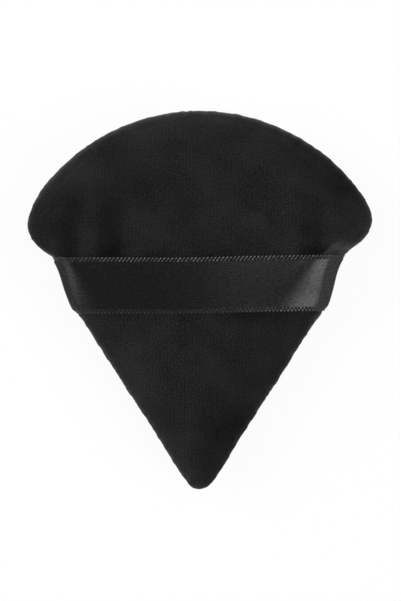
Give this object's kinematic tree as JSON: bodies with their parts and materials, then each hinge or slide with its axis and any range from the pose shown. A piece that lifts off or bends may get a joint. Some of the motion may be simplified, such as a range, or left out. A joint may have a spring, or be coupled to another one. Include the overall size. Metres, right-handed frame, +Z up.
{
  "type": "powder puff",
  "caption": "Fan-shaped velour powder puff, filled with soft fibre, with a satin ribbon sewn into both side seams as a finger strap over the front.",
  "frame": {"origin": "under the middle of the puff's outline, on the surface that the puff rests on", "axes": "+X across the puff, +Y from the tip to the fan arc, +Z up through the ribbon"},
  "size_m": [0.0728, 0.08, 0.019],
  "materials": {
    "velour": "short black velour pile",
    "fibre": "white carded polyester fibre",
    "satin": "black satin weave with woven edges",
    "thread": "black spun sewing thread"
  },
  "bodies": {
    "puff": {"front_panel": "velour", "back_panel": "velour", "filling": "fibre", "left_ribbon_tail": "satin", "right_ribbon_tail": "satin", "seam_needle_thread": "thread", "seam_bobbin_thread": "thread", "left_tack_thread": "thread", "right_tack_thread": "thread", "closing_thread": "thread"},
    "ribbon": {"ribbon_band": "satin"}
  },
  "joints": [
    {"name": "ribbon_tilt", "type": "hinge", "parent": "puff", "child": "ribbon", "pos_m": [0, 0.0034, 0.007], "axis": [1, 0, 0], "range_deg": [-12, 25], "stiffness_Nm_per_rad": 0.001}
  ]
}
